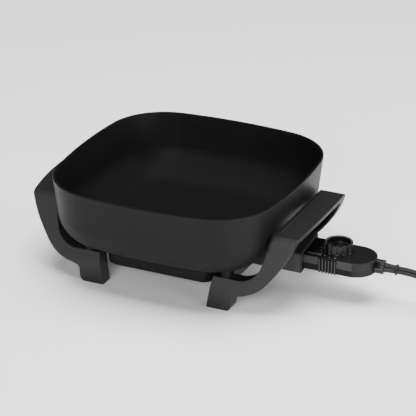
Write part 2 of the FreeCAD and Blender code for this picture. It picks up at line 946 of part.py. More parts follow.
def make_control_cover():
    """Upper half of the control, with the dial's seat and the signal lamp's window."""
    solid = upright(control_plan(0, control_front_x), control_parting, control_top)
    edges = [e for e in solid.Edges if e.BoundBox.ZMin > control_top - near]
    solid = solid.makeFillet(control_top_radius, edges)
    hollow = upright(control_plan(control_wall, control_front_x + control_wall),
                     control_parting - overrun, control_top - control_wall)
    cover = solid.cut(hollow)
    fin_high = control_top - grip_fin_end
    additions = both_sides([side_wedge(control_parting, control_top - control_top_radius,
                                       control_parting)]
                           + side_fins(control_parting, fin_high))
    additions += control_columns(2 * control_screw_radius, control_parting,
                                 control_top - control_wall / 2)
    collar_low = control_top - control_wall - cover_collar_depth
    additions.append(rod(cover_collar_radius, (dial_x, 0, collar_low),
                         (dial_x, 0, control_top - control_wall / 2)))
    cover = cover.fuse(additions)
    cuts = [relief_slot(), nose_opening(), lens_window()]
    cuts.append(rod(spindle_radius + running_gap, (dial_x, 0, 0), (dial_x, 0, FAR)))
    cuts += control_columns(control_screw_radius + seat_gap, 0, control_top - control_wall)
    return one_solid(cover.cut(cuts))


def make_control_screws():
    screws = []
    for x, y in control_screw_places():
        screws.append(pan_head_screw(control_screw_radius, control_screw_head_radius,
                                     control_screw_head_height, control_bottom,
                                     control_top - control_wall - overrun, x, y))
    return Part.makeCompound(screws)


# Contacts and probe


def sleeve_start_x():
    return nose_front_x + 2 * nose_radius


def make_contact_block():
    """Moulded nose that carries the contact sleeves and the probe."""
    low = (nose_front_x, -nose_half_y, control_bottom + control_wall + seat_gap)
    high = (nose_back_x, nose_half_y, nose_top)
    block = rounded_block(low, high, nose_radius, RIGHT)
    sleeve_outer = terminal_radius + running_gap + sleeve_wall
    cuts = []
    for side_y in (-1, 1):
        y = side_y * terminal_y
        cuts.append(rod(terminal_radius + body_gap, (0, y, element_height),
                        (FAR, y, element_height)))
        cuts.append(rod(sleeve_outer + running_gap, (sleeve_start_x(), y, element_height),
                        (FAR, y, element_height)))
    cuts.append(rod(probe_radius + running_gap, (0, 0, element_height), (FAR, 0, element_height)))
    return one_solid(block.cut(cuts))


def make_contact_sleeves():
    """Two brass sleeves that grip the terminals, each with a solder tag behind."""
    inner = terminal_radius + running_gap
    start = sleeve_start_x()
    end = start + sleeve_length
    tube = rod(inner + sleeve_wall, (start, terminal_y, element_height),
               (end, terminal_y, element_height))
    tube = tube.cut(rod(inner, (start - overrun, terminal_y, element_height),
                        (end - 2 * sleeve_wall, terminal_y, element_height)))
    tag = box((end - sleeve_wall, terminal_y - inner, element_height - sleeve_wall / 2),
              (end + sleeve_tag_length, terminal_y + inner, element_height + sleeve_wall / 2))
    return Part.makeCompound(both_sides_y(tube.fuse(tag)))


def make_probe():
    """Sensing probe: a closed tube with a collar behind the nose."""
    tube = rod(probe_radius, (probe_tip_x, 0, element_height), (probe_end_x, 0, element_height))
    tip_edges = [e for e in tube.Edges if e.BoundBox.XMax < probe_tip_x + near]
    tube = tube.makeFillet(probe_tip_radius, tip_edges)
    collar = rod(probe_collar_radius, (nose_back_x, 0, element_height),
                 (nose_back_x + probe_collar_length, 0, element_height))
    return tube.fuse(collar)


# Thermostat


def floor_top():
    return control_bottom + control_wall


def make_thermostat_frame():
    """Folded steel channel that stands on the floor of the base."""
    half = frame_width / 2
    low = floor_top()
    outer = box((frame_start_x, -half, low), (frame_start_x + frame_length, half, low + frame_height))
    inner = box((0, -half + frame_thickness, low + frame_thickness), (FAR, half - frame_thickness, FAR))
    probe_way = rod(probe_radius + body_gap, (0, 0, element_height),
                    (probe_end_x + body_gap, 0, element_height))
    return outer.cut([inner, probe_way])


def leaf_base():
    return floor_top() + frame_thickness


def stack_start_x():
    return frame_start_x + frame_length - spacer_length


def make_spacers():
    """Stack of two insulating spacers that carries the contact leaves."""
    half = leaf_width / 2
    start = stack_start_x()
    lower = box((start, -half, leaf_base()), (start + spacer_length, half, leaf_base() + spacer_height))
    upper_low = leaf_base() + spacer_height + leaf_thickness
    upper = box((start, -half, upper_low), (start + spacer_length, half, upper_low + leaf_gap))
    return Part.makeCompound([lower, upper])


def contact_leaf(low, end_x):
    half = leaf_width / 2
    return box((end_x, -half, low), (stack_start_x() + spacer_length, half, low + leaf_thickness))


def contact_x():
    return stack_start_x() - 2 * contact_radius


def make_lower_leaf():
    """Fixed contact leaf with its silver button."""
    low = leaf_base() + spacer_height
    x = contact_x()
    button = rod(contact_radius, (x, 0, low), (x, 0, low + leaf_thickness + leaf_gap / 2 - running_gap))
    return contact_leaf(low, x - leaf_width / 2).fuse(button)


def make_upper_leaf():
    """Moving contact leaf, pressed by the dial's cam, with its silver button."""
    low = leaf_base() + spacer_height + leaf_thickness + leaf_gap
    x = contact_x()
    button = rod(contact_radius, (x, 0, low - leaf_gap / 2 + running_gap), (x, 0, low + leaf_thickness))
    return contact_leaf(low, dial_x - spindle_cam_radius).fuse(button)


# Dial and spindle


def cam_bottom():
    return leaf_base() + spacer_height + 2 * leaf_thickness + leaf_gap + body_gap


def make_spindle():
    """Dial spindle with a flat for the dial and a cam that presses the moving leaf."""
    top = dial_top - dial_cup_depth - spindle_seat_depth
    shaft = rod(spindle_radius, (dial_x, 0, cam_bottom()), (dial_x, 0, top))
    cam = rod(spindle_cam_radius, (dial_x, 0, cam_bottom()),
              (dial_x, 0, cam_bottom() + spindle_cam_height))
    flat = box((dial_x + spindle_flat, -FAR, dial_low()), (FAR, FAR, FAR))
    return shaft.fuse(cam).cut(flat)


def dial_low():
    return control_top + body_gap


def make_dial():
    """Fluted knob with a deep round cup on top and a raised pointer in the cup."""
    low = dial_low()
    body = rod(dial_radius, (dial_x, 0, low), (dial_x, 0, dial_top))
    cup_radius = dial_radius - dial_wall
    cup_floor = dial_top - dial_cup_depth
    body = body.cut(rod(cup_radius, (dial_x, 0, cup_floor), (dial_x, 0, FAR)))
    top_edges = [e for e in body.Edges if e.BoundBox.ZMin > dial_top - near]
    body = body.makeFillet(dial_edge_radius, top_edges)
    flutes = []
    for i in range(dial_flute_count):
        angle = 2 * math.pi * (i + 0.5) / dial_flute_count
        reach = dial_radius + dial_flute_offset
        x = dial_x + reach * math.cos(angle)
        y = reach * math.sin(angle)
        flutes.append(rod(dial_flute_radius, (x, y, low + dial_skirt_height), (x, y, FAR)))
    body = body.cut(flutes)
    half = dial_pointer_width / 2
    pointer = box((dial_x - cup_radius - dial_wall / 2, -half, cup_floor),
                  (dial_x - spindle_radius, half, cup_floor + dial_pointer_rise))
    body = body.fuse(pointer)
    under = rod(cup_radius, (dial_x, 0, low - overrun), (dial_x, 0, cup_floor - dial_wall))
    hub = rod(2 * spindle_radius, (dial_x, 0, low), (dial_x, 0, cup_floor - dial_wall / 2))
    body = body.cut(under).fuse(hub)
    bore = rod(spindle_radius + running_gap, (dial_x, 0, 0),
               (dial_x, 0, cup_floor - spindle_seat_depth + running_gap))
    flat = box((dial_x + spindle_flat + running_gap, -FAR, 0), (FAR, FAR, FAR))
    return one_solid(body.cut(bore.cut(flat)))


# Signal lamp


def lens_window():
    return rounded_block(
        (lens_x - lens_length / 2 - seat_gap, lens_y - lens_width / 2 - seat_gap, control_parting),
        (lens_x + lens_length / 2 + seat_gap, lens_y + lens_width / 2 + seat_gap, FAR),
        lens_end_radius, UP)


def make_lens():
    """Clear lens set in the cover, standing just proud of it."""
    low = (lens_x - lens_length / 2, lens_y - lens_width / 2, control_top - control_wall)
    high = (lens_x + lens_length / 2, lens_y + lens_width / 2, control_top + lens_rise)
    return rounded_block(low, high, lens_end_radius, UP)


def make_lamp():
    """Small neon lamp that lies under the lens."""
    z = control_top - control_wall - lamp_radius - seat_gap
    start = (lens_x - lamp_length / 2, lens_y, z)
    return rod(lamp_radius, start, (lens_x + lamp_length / 2, lens_y, z))


# Strain relief


def side_block(start_x, end_x, half_y, half_z, radius):
    low = (start_x, -half_y, cord_height - half_z)
    high = (end_x, half_y, cord_height + half_z)
    return rounded_block(low, high, radius, RIGHT)


def make_strain_relief():
    """Moulded relief: flange inside the shells, neck, stepped block, tapering neck and ring."""
    neck = side_block(relief_inner_x, relief_end_x, relief_neck_half_y, relief_neck_half_z,
                      relief_neck_half_y * relief_round_ratio)
    flange = side_block(relief_inner_x, relief_inner_x + relief_flange_wall,
                        relief_block_half_y, relief_block_half_z, relief_flange_radius)
    block = side_block(relief_inner_x, relief_block_end_x, relief_block_half_y,
                       relief_block_half_z, relief_block_radius)
    ring = side_block(relief_neck_end_x, relief_end_x, relief_ring_half_y, relief_ring_half_z,
                      relief_ring_half_y * relief_round_ratio)
    round_end = upright(control_plan(-seat_gap, control_front_x), 0, FAR)
    return one_solid(neck.fuse([flange, block.cut(round_end), ring]))


# Cord, coil, tie and plug


def cord_centre_line():
    """Straight runs of the cord joined by tangent arcs, and the radius of each arc."""
    points = [V(*p) for p in cord_route]
    edges = []
    radii = []
    last = points[0]
    for i in range(1, len(points) - 1):
        back = points[i - 1] - points[i]
        ahead = points[i + 1] - points[i]
        reach = 0.45 * min(back.Length, ahead.Length)
        back.normalize()
        ahead.normalize()
        half_turn = (math.pi - back.getAngle(ahead)) / 2
        radius = reach / math.tan(half_turn)
        inward = (back + ahead).normalize()
        middle = points[i] + inward * (radius / math.cos(half_turn) - radius)
        start = points[i] + back * reach
        end = points[i] + ahead * reach
        edges.append(Part.makeLine(last, start))
        edges.append(Part.Arc(start, middle, end).toShape())
        radii.append(radius)
        last = end
    edges.append(Part.makeLine(last, points[-1]))
    return Part.Wire(edges), radii


def make_cord():
    path, radii = cord_centre_line()
    first = V(*cord_route[0])
    heading = V(*cord_route[1]) - first
    section = Part.Wire([Part.makeCircle(cord_diameter / 2, first, heading)])
    cord = path.makePipeShell([section], True, False)
    area = math.pi * cord_diameter * cord_diameter / 4
    print("cord bend radii", [round(r, 1) for r in radii])
    print("cord length", round(path.Length, 1), "volume share", round(cord.Volume / area / path.Length, 4))
    return cord


def coil_point(turn):
    """Point and heading on the coil after a number of turns, spiralling in and out again."""
    inward = coil_turns_in_layer
    climb = coil_climb_turns
    middle = inward + climb / 2
    total = 2 * inward + climb
    inner_radius = coil_outer_radius - coil_pitch * middle
    radius = inner_radius + coil_pitch * abs(turn - middle)
    share = min(max((turn - inward) / climb, 0), 1)
    rise = (cord_diameter + coil_layer_gap) * (1 - math.cos(math.pi * share)) / 2
    centre = coil_centre()
    angle = 2 * math.pi * turn - math.pi / 2
    spread = coil_pitch / (2 * math.pi) * (1 if turn >= middle else -1)
    climbing = (cord_diameter + coil_layer_gap) * math.sin(math.pi * share) / (4 * climb)
    point = centre + V(radius * math.cos(angle), radius * math.sin(angle), rise)
    heading = V(spread * math.cos(angle) - radius * math.sin(angle),
                spread * math.sin(angle) + radius * math.cos(angle), climbing)
    return point, heading.normalize(), total


def coil_centre():
    last = V(*cord_route[-1])
    return V(last.x + cord_diameter, last.y + coil_outer_radius, cord_rest_height)


def tangent_arc(start, apex, end):
    """Arc from start to end whose tangents meet at apex."""
    chord_middle = (start + end) * 0.5
    height = (apex - chord_middle).Length
    if height < near / 1000:
        return Part.makeLine(start, end)
    half_chord = (end - start).Length / 2
    half_turn = math.atan2(height, half_chord)
    radius = half_chord / math.sin(half_turn)
    sagitta = radius * (1 - math.cos(half_turn))
    middle = chord_middle + (apex - chord_middle) * (sagitta / height)
    return Part.Arc(start, middle, end).toShape()


def two_arcs(start, start_heading, end, end_heading):
    """Pair of tangent arcs that leaves start and reaches end with the given headings."""
    across = end - start
    both = start_heading + end_heading
    a = 2 * (start_heading.dot(end_heading) - 1)
    b = -2 * across.dot(both)
    c = across.dot(across)
    if abs(a) < near / 1000:
        reach = -c / b
    else:
        reach = (-b - math.sqrt(b * b - 4 * a * c)) / (2 * a)
    first_apex = start + start_heading * reach
    second_apex = end - end_heading * reach
    joint = (first_apex + second_apex) * 0.5
    return [tangent_arc(start, first_apex, joint), tangent_arc(joint, second_apex, end)]


def coil_centre_line():
    """One unbroken line: a straight lead-in, the turns, and a lead-out down to the plug."""
    start, heading, total = coil_point(0)
    edges = [Part.makeLine(V(*cord_route[-1]), start)]
    steps = int(round(total * 4))
    for i in range(steps):
        p0, h0, total = coil_point(total * i / steps)
        p1, h1, total = coil_point(total * (i + 1) / steps)
        if i == 0:
            h0 = RIGHT
        edges += two_arcs(p0, h0, p1, h1)
    end, heading, total = coil_point(total)
    far_end = V(end.x, end.y, plug_half_height) + heading * coil_lead_out
    edges += two_arcs(end, heading, far_end, heading)
    return Part.Wire(edges), far_end, heading


def print_least_gap(path):
    """Least clear space between turns of the coil, measured on points along its line."""
    points = path.discretize(Distance=1.0)
    apart = int(2.5 * cord_diameter)
    least = min(
        (points[i] - points[j]).Length
        for i in range(len(points))
        for j in range(i + apart, len(points))
    )
    print("coil length", round(path.Length, 1), "least gap", round(least - cord_diameter, 2))


def make_coil():
    path, end, heading = coil_centre_line()
    section = Part.Wire([Part.makeCircle(cord_diameter / 2, V(*cord_route[-1]), RIGHT)])
    coil = path.makePipeShell([section], True, False)
    area = math.pi * cord_diameter * cord_diameter / 4
    print_least_gap(path)
    print("coil volume share", round(coil.Volume / area / path.Length, 4))
    return coil


def make_tie():
    """Flat band closed round the bundle of turns, at one side of the coil."""
    inner_radius = coil_outer_radius - coil_pitch * (coil_turns_in_layer + coil_climb_turns / 2)
    clear = cord_diameter / 2 + seat_gap
    wall = tie_thickness
    low = V(inner_radius - clear, -tie_width / 2, -clear)
    high = V(coil_outer_radius + clear, tie_width / 2, cord_diameter + coil_layer_gap + clear)
    outer = rounded_block(low - V(wall, 0, wall), high + V(wall, 0, wall), 2 * wall, BACK)
    inner = rounded_block(low - BACK, high + BACK, wall, BACK)
    tie = outer.cut(inner)
    tie.rotate(CENTRE, UP, tie_angle)
    tie.translate(coil_centre())
    return tie


def plug_frame():
    path, end, heading = coil_centre_line()
    return end, math.degrees(math.atan2(heading.y, heading.x))


def placed_on_cord_end(shape):
    end, angle = plug_frame()
    shape.rotate(CENTRE, UP, angle)
    shape.translate(end)
    return shape


def make_plug():
    """Moulded two-blade plug with a narrow neck and a waisted body."""
    shoulder_x = plug_neck_length + plug_shoulder
    face_x = plug_neck_length + plug_length
    neck_end = plug_neck_half_width + plug_neck_swell
    plan = rounded_outline([
        (0, plug_neck_half_width, 0),
        (0, -plug_neck_half_width, 0),
        (plug_neck_length, -neck_end, plug_neck_radius),
        (shoulder_x, -plug_half_width, plug_shoulder_radius),
        (face_x, -plug_half_width, plug_end_radius),
        (face_x, plug_half_width, plug_end_radius),
        (shoulder_x, plug_half_width, plug_shoulder_radius),
        (plug_neck_length, neck_end, plug_neck_radius),
    ], flat_xy)
    profile = rounded_outline([
        (0, plug_neck_half_width, 0),
        (0, -plug_neck_half_width, 0),
        (shoulder_x, -plug_half_height, plug_slope_radius),
        (face_x, -plug_half_height, plug_end_radius),
        (face_x, plug_half_height, plug_end_radius),
        (shoulder_x, plug_half_height, plug_slope_radius),
    ], flat_xz)
    body = upright(plan, -FAR, FAR).common(prism(profile, BACK * -FAR, BACK * 2 * FAR))
    slots = [blade(side_z, running_gap) for side_z in (-1, 1)]
    return placed_on_cord_end(one_solid(body.cut(slots)))


def blade(side_z, gap):
    """One blade, or its slot when given a gap; the neutral blade is the wider one."""
    start = plug_neck_length + plug_length - blade_root
    end = plug_neck_length + plug_length + blade_length
    half_y = (blade_wide if side_z > 0 else blade_width) / 2 + gap
    half_z = blade_thickness / 2 + gap
    z = side_z * blade_spacing / 2
    return box((start - gap, -half_y, z - half_z), (end + gap, half_y, z + half_z))


def make_blades():
    solids = []
    for side_z in (-1, 1):
        solid = blade(side_z, 0)
        x = plug_neck_length + plug_length + blade_length * blade_hole_ratio
        z = side_z * blade_spacing / 2
        hole = rod(blade_hole_radius, (x, 0, z - blade_thickness), (x, 0, z + blade_thickness))
        solids.append(solid.cut(hole))
    return placed_on_cord_end(Part.makeCompound(solids))


# Save every piece

pieces = {
    "pan_body": make_pan(),
    "heating_element": make_element(),
    "terminal_insulators": make_insulators(),
    "terminal_pins": make_terminals(),
    "right_handle_frame": make_handle(True),
    "left_handle_frame": make_handle(False),
    "leg_screws": make_leg_screws(),
    "terminal_guard": make_guard(),
    "guard_screws": make_guard_screws(),
    "control_base": make_control_base(),
    "control_cover": make_control_cover(),
    "control_screws": make_control_screws(),
    "contact_block": make_contact_block(),
    "contact_sleeves": make_contact_sleeves(),
    "sensor_probe": make_probe(),
    "thermostat_frame": make_thermostat_frame(),
    "thermostat_spacers": make_spacers(),
    "lower_contact_leaf": make_lower_leaf(),
    "upper_contact_leaf": make_upper_leaf(),
    "temperature_dial": make_dial(),
    "dial_spindle": make_spindle(),
    "signal_lens": make_lens(),
    "signal_lamp": make_lamp(),
    "strain_relief": make_strain_relief(),
    "power_cord": make_cord(),
    "cord_coil": make_coil(),
    "cord_tie": make_tie(),
    "plug_body": make_plug(),
    "plug_blades": make_blades(),
}

middle_x = (control_back_x - grip_outer_x - grip_bulge) / 2
os.makedirs("parts", exist_ok=True)
for name, shape in pieces.items():
    shape.translate(V(-middle_x, 0, 0))
    shape.exportStep("parts/" + name + ".step")
    print(name, "valid" if shape.isValid() else "INVALID", len(shape.Solids), round(shape.Volume))
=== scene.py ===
import bpy
import bmesh
import math
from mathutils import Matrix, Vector
from mathutils.geometry import convex_hull_2d


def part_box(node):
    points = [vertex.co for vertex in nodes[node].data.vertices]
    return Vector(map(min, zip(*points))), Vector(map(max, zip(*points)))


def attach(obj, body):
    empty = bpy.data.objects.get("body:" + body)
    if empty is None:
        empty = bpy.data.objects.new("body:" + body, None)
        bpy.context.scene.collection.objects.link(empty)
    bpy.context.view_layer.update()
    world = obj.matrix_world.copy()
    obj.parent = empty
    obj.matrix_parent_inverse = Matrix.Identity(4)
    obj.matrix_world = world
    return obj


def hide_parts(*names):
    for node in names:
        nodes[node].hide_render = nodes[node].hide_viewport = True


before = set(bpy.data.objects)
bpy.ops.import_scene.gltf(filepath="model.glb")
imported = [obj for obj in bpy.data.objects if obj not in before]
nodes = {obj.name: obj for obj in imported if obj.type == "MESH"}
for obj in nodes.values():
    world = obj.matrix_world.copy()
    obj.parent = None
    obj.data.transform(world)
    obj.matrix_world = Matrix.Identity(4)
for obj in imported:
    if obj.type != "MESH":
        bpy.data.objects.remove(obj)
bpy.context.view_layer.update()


# The camera stands in front of the skillet, a little to the right and above the rim, with a long
# lens. The picture is cut off centre, so the lens is shifted by a few hundredths of its width.

camera_turn = math.radians(25.18)
camera_tilt = math.radians(24.85)
camera_aim = Vector((-0.03321, 0.00312, 0.06555))
camera_distance = 3.11028
camera_side = Vector((math.sin(camera_turn), -math.cos(camera_turn), 0))
camera_away = camera_side * math.cos(camera_tilt) + Vector((0, 0, math.sin(camera_tilt)))

camera = bpy.data.objects.new("camera", bpy.data.cameras.new("camera"))
bpy.context.scene.collection.objects.link(camera)
camera.location = camera_aim + camera_away * camera_distance
camera.rotation_euler = camera_away.to_track_quat("Z", "Y").to_euler()
camera.data.lens = 215.03
camera.data.sensor_width = 36.0
camera.data.shift_x = 0.0409
camera.data.shift_y = 0.0171
camera.data.clip_end = 50.0
bpy.context.scene.camera = camera


# Mains cord: two insulated conductors moulded side by side in one black jacket, 10 mm wide and
# under 6 mm thick, with a groove along both flat sides. It leaves the relief with its wide side
# leaning back, sinks to the table and is wound into two and a half turns, wide side upright.

cord_width = 0.0100
cord_thickness = 0.0053
cord_rest = 0.0060
cord_lean = math.radians(38)
lean_start = 0.2850
lean_end = 0.3650
cord_route = [
    (0.24515, 0.0, 0.0485),
    (0.29415, 0.0, 0.0485),
    (0.33215, -0.002, 0.0165),
    (0.35815, -0.003, cord_rest),
    (0.38615, -0.003, cord_rest),
]
coil_middle = Vector((0.39615, 0.055, cord_rest))
coil_inner = 0.0461
coil_pitch = 0.0095
coil_turns = 2.5
coil_climb_start = 1.0
coil_climb = 0.5
coil_rise = 0.0105
coil_steps = 16
plug_height = 0.0135
plug_start = 0.0360
tail_y = 0.113
cord_tail = [
    (coil_middle.x - 0.012, tail_y, cord_rest + coil_rise),
    (coil_middle.x - 0.026, tail_y, plug_height),
    (coil_middle.x - plug_start - 0.004, tail_y, plug_height),
]
lobe_steps = 10
cord_crisp_angle = math.radians(50)


class Shade:
    """A value on its way through a finish, so that a finish can be written as a sum."""

    def __init__(self, finish, socket):
        self.finish = finish
        self.socket = socket

    def __add__(self, other):
        return self.finish.sum("ADD", self, other)

    def __radd__(self, other):
        return self.finish.sum("ADD", other, self)

    def __sub__(self, other):
        return self.finish.sum("SUBTRACT", self, other)

    def __rsub__(self, other):
        return self.finish.sum("SUBTRACT", other, self)

    def __mul__(self, other):
        return self.finish.sum("MULTIPLY", self, other)

    def __rmul__(self, other):
        return self.finish.sum("MULTIPLY", other, self)

    def __pow__(self, other):
        return self.finish.sum("POWER", self, other)

    def __abs__(self):
        return self.finish.node("ShaderNodeMath", {"operation": "ABSOLUTE"}, {0: self})


class Finish:
    """The finish of one kind of surface. Its steady values sit on the shader's own sockets."""

    def __init__(self, name, steady):
        self.material = bpy.data.materials.new(name)
        self.material.use_nodes = True
        self.tree = self.material.node_tree
        self.shader = self.tree.nodes["Principled BSDF"]
        for socket, value in steady.items():
            self.shader.inputs[socket].default_value = value

    def feed(self, socket, value):
        """Gives a socket its number, or a link where the value changes over the surface."""
        if isinstance(value, Shade):
            self.tree.links.new(value.socket, socket)
        else:
            socket.default_value = value

    def node(self, kind, settings, sockets, output=0):
        """Adds one node, its settings before its sockets, and gives back one of its outputs."""
        made = self.tree.nodes.new(kind)
        for key, value in settings.items():
            if key == "stops":
                ramp = made.color_ramp.elements
                while len(ramp) < len(value):
                    ramp.new(0.5)
                for stop, (position, colour) in zip(ramp, value):
                    stop.position = position
                    stop.color = colour
            else:
                setattr(made, key, value)
        for key, value in sockets.items():
            self.feed(made.inputs[key], value)
        return Shade(self, made.outputs[output])

    def sum(self, operation, first, second):
        """Maths on two values, of which one or both change over the surface."""
        return self.node("ShaderNodeMath", {"operation": operation}, {0: first, 1: second})

    def place(self):
        """The place on the surface, in metres, in the part's own frame."""
        return self.node("ShaderNodeTexCoord", {}, {}, "Object")

    def xyz(self):
        """How far the place is from the part's origin along each axis, in metres."""
        split = self.node("ShaderNodeSeparateXYZ", {}, {"Vector": self.place()}).socket.node
        return [Shade(self, split.outputs[axis]) for axis in "XYZ"]

    def grain(self, size, detail=2.0, stretch=(1, 1, 1)):
        """Soft cloudy variation from 0 to 1, with features of about the given size in metres."""
        spot = self.node("ShaderNodeMapping", {}, {"Vector": self.place(), "Scale": stretch})
        sockets = {"Vector": spot, "Scale": 1 / size, "Detail": detail}
        return self.node("ShaderNodeTexNoise", {}, sockets)

    def share(self, value, low, high):
        """0 where value is under low, 1 where it is over high, and smooth between."""
        settings = {"interpolation_type": "SMOOTHSTEP"}
        sockets = {"Value": value, "From Min": low, "From Max": high}
        return self.node("ShaderNodeMapRange", settings, sockets)

    def blend(self, share, first, second):
        """Mix of two colours, which a Mix node has on its sockets 6 and 7 and on its output 2."""
        settings = {"data_type": "RGBA"}
        return self.node("ShaderNodeMix", settings, {0: share, 6: first, 7: second}, 2)

    def rounded(self, radius):
        """The normal with its edges rounded by a radius, and how near an edge the place is."""
        soft = self.node("ShaderNodeBevel", {"samples": 4}, {"Radius": radius})
        flat = self.node("ShaderNodeNewGeometry", {}, {}, "Normal")
        settings = {"operation": "DOT_PRODUCT"}
        alike = self.node("ShaderNodeVectorMath", settings, {0: soft, 1: flat}, "Value")
        faint = 0.01
        full = 0.25
        return soft, self.share(1 - alike, faint, full)

    def bumps(self, height, depth, normal=None):
        """Normal for a surface whose height, from 0 to 1, stands for a depth in metres."""
        sockets = {"Height": height, "Distance": depth, "Strength": 1.0}
        if normal is not None:
            sockets["Normal"] = normal
        return self.node("ShaderNodeBump", {}, sockets)

    def surface(self, sockets):
        """Feeds what changes over the surface to the shader."""
        for socket, value in sockets.items():
            self.feed(self.shader.inputs[socket], value)

    def on(self, *objects):
        """Puts the finish on pieces, in place of what they had."""
        for dressed in objects:
            dressed.data.materials.clear()
            dressed.data.materials.append(self.material)


def twin_ring(offset, radius):
    """Outline of two round lobes side by side, each with its middle that far from the joint."""
    reach = math.pi - math.acos(offset / radius)
    ring = []
    for lobe in (1, -1):
        for step in range(lobe_steps):
            turn = reach * (2 * step / lobe_steps - 1)
            ring.append((lobe * (offset + radius * math.cos(turn)), lobe * radius * math.sin(turn)))
    return ring


def swept(points, ring, across, closed=False):
    """Rings of places for a bar that follows points, from its (width, thickness) outline.

    Across has one direction for each point, and the bar's width keeps to it there.
    """
    rings = []
    for i, point in enumerate(points):
        before = points[i - 1] if closed or i > 0 else point
        after = points[(i + 1) % len(points)] if closed or i < len(points) - 1 else point
        ahead = (after - before).normalized()
        wide = (across[i] - ahead * across[i].dot(ahead)).normalized()
        thick = ahead.cross(wide)
        rings.append([point + wide * w + thick * t for w, t in ring])
    return rings


def skin(name, rings, crisp, closed=False):
    """Piece with a skin through rings of places, and flat ends where it isn't closed.

    Its surface is smooth apart from the edges that turn by more than the crisp angle.
    """
    made = bmesh.new()
    loops = [[made.verts.new(place) for place in ring] for ring in rings]
    pairs = list(zip(loops, loops[1:]))
    if closed:
        pairs.append((loops[-1], loops[0]))
    for here, there in pairs:
        for i in range(len(here)):
            j = (i + 1) % len(here)
            made.faces.new((here[i], here[j], there[j], there[i]))
    if not closed:
        made.faces.new(list(reversed(loops[0])))
        made.faces.new(loops[-1])
    bmesh.ops.recalc_face_normals(made, faces=made.faces)
    for face in made.faces:
        face.smooth = True
    mesh = bpy.data.meshes.new(name)
    made.to_mesh(mesh)
    made.free()
    mesh.set_sharp_from_angle(angle=crisp)
    piece = bpy.data.objects.new(name, mesh)
    bpy.context.scene.collection.objects.link(piece)
    return piece


def coil_place(turn):
    """Place on the coil after some turns: it winds inward below and outward again on top."""
    middle = coil_climb_start + coil_climb / 2
    radius = (coil_inner + coil_pitch * abs(turn - middle)) / math.cos(math.pi / coil_steps)
    share = min(max((turn - coil_climb_start) / coil_climb, 0), 1)
    rise = coil_rise * (1 - math.cos(math.pi * share)) / 2
    angle = 2 * math.pi * turn - math.pi / 2
    return coil_middle + Vector((radius * math.cos(angle), radius * math.sin(angle), rise))


cord_holds = [Vector(p) for p in cord_route]
for step in range(int(coil_turns * coil_steps) + 1):
    cord_holds.append(coil_place(step / coil_steps))
cord_holds += [Vector(p) for p in cord_tail]

cord_curve = bpy.data.curves.new("cord_line", "CURVE")
cord_curve.dimensions = "3D"
cord_spline = cord_curve.splines.new("NURBS")
cord_spline.points.add(len(cord_holds) - 1)
for hold, spline_point in zip(cord_holds, cord_spline.points):
    spline_point.co = (hold.x, hold.y, hold.z, 1)
cord_spline.order_u = 3
cord_spline.use_endpoint_u = True
cord_spline.resolution_u = 12
cord_line = bpy.data.objects.new("cord_line", cord_curve)
line_mesh = bpy.data.meshes.new_from_object(cord_line)
cord_path = [v.co.copy() for v in line_mesh.vertices]
bpy.data.objects.remove(cord_line)
bpy.data.meshes.remove(line_mesh)

lobe_radius = cord_thickness / 2
lobe_offset = cord_width / 2 - lobe_radius
cord_across = []
for place in cord_path:
    upright = min(max((place.x - lean_start) / (lean_end - lean_start), 0), 1)
    lean = cord_lean * (1 + math.cos(math.pi * upright)) / 2
    cord_across.append(Vector((0, math.sin(lean), math.cos(lean))))
cord_rings = swept(cord_path, twin_ring(lobe_offset, lobe_radius), cord_across)
cord = skin("mains_cord", cord_rings, cord_crisp_angle)

cord_finish = Finish("cord_jacket", {"Specular IOR Level": 0.28})
cord_soft, cord_crease_shade = cord_finish.rounded(0.0004)
cord_cloud = cord_finish.grain(0.012)
cord_skin = cord_finish.grain(0.0006, 3.0)
cord_colour = cord_finish.blend(cord_cloud, (0.005, 0.005, 0.0055, 1), (0.009, 0.009, 0.0095, 1))
# The base colour darkens in the grooves between the lobes as painted shade.
cord_finish.surface({
    "Base Color": cord_finish.blend(cord_crease_shade, cord_colour, (0.001, 0.001, 0.001, 1)),
    "Roughness": 0.20 + 0.10 * cord_cloud + 0.05 * cord_skin + 0.5 * cord_crease_shade,
    "Normal": cord_finish.bumps(cord_skin, 0.00004, cord_soft),
})
cord_finish.on(cord)


# Strap that holds the coil together: a flat black hook-and-loop band pulled round the turns, with
# its tail pressed down on itself.

tie_angle = math.radians(20)
tie_width = 0.0090
tie_thickness = 0.0008
tie_gap = 0.0005
tie_step = 0.0020
tie_easings = 2
tie_crisp_angle = math.radians(50)
tie_turn = (tie_angle + math.pi / 2) / (2 * math.pi)
tie_out = Vector((math.cos(tie_angle), math.sin(tie_angle), 0))
tie_along = Vector((-math.sin(tie_angle), math.cos(tie_angle), 0))

bundle = []
for turn in (tie_turn, tie_turn + 1, tie_turn + 2):
    spot = coil_place(turn) - coil_middle
    reach = spot.dot(tie_out) * math.cos(math.pi / coil_steps)
    for side_out in (-1, 1):
        for side_up in (-1, 1):
            for bend in (0, 30, 60, 90):
                across_out = lobe_radius * math.cos(math.radians(bend)) + tie_gap
                across_up = lobe_offset + lobe_radius * math.sin(math.radians(bend)) + tie_gap
                bundle.append(Vector((reach + side_out * across_out, spot.z + side_up * across_up)))
hull = [bundle[i] for i in convex_hull_2d(bundle)]
tie_points = []
for i, corner in enumerate(hull):
    following = hull[(i + 1) % len(hull)]
    pieces_here = max(1, int((following - corner).length / tie_step))
    for step in range(pieces_here):
        at = corner.lerp(following, step / pieces_here)
        tie_points.append(coil_middle + tie_out * at.x + Vector((0, 0, at.y)))
for _ in range(tie_easings):
    tie_points = [
        (tie_points[i - 1] + 2 * tie_points[i] + tie_points[(i + 1) % len(tie_points)]) / 4
        for i in range(len(tie_points))
    ]
half_width = tie_width / 2
half_wall = tie_thickness / 2
flat_width = half_width * 0.96
rim_wall = half_wall * 0.4
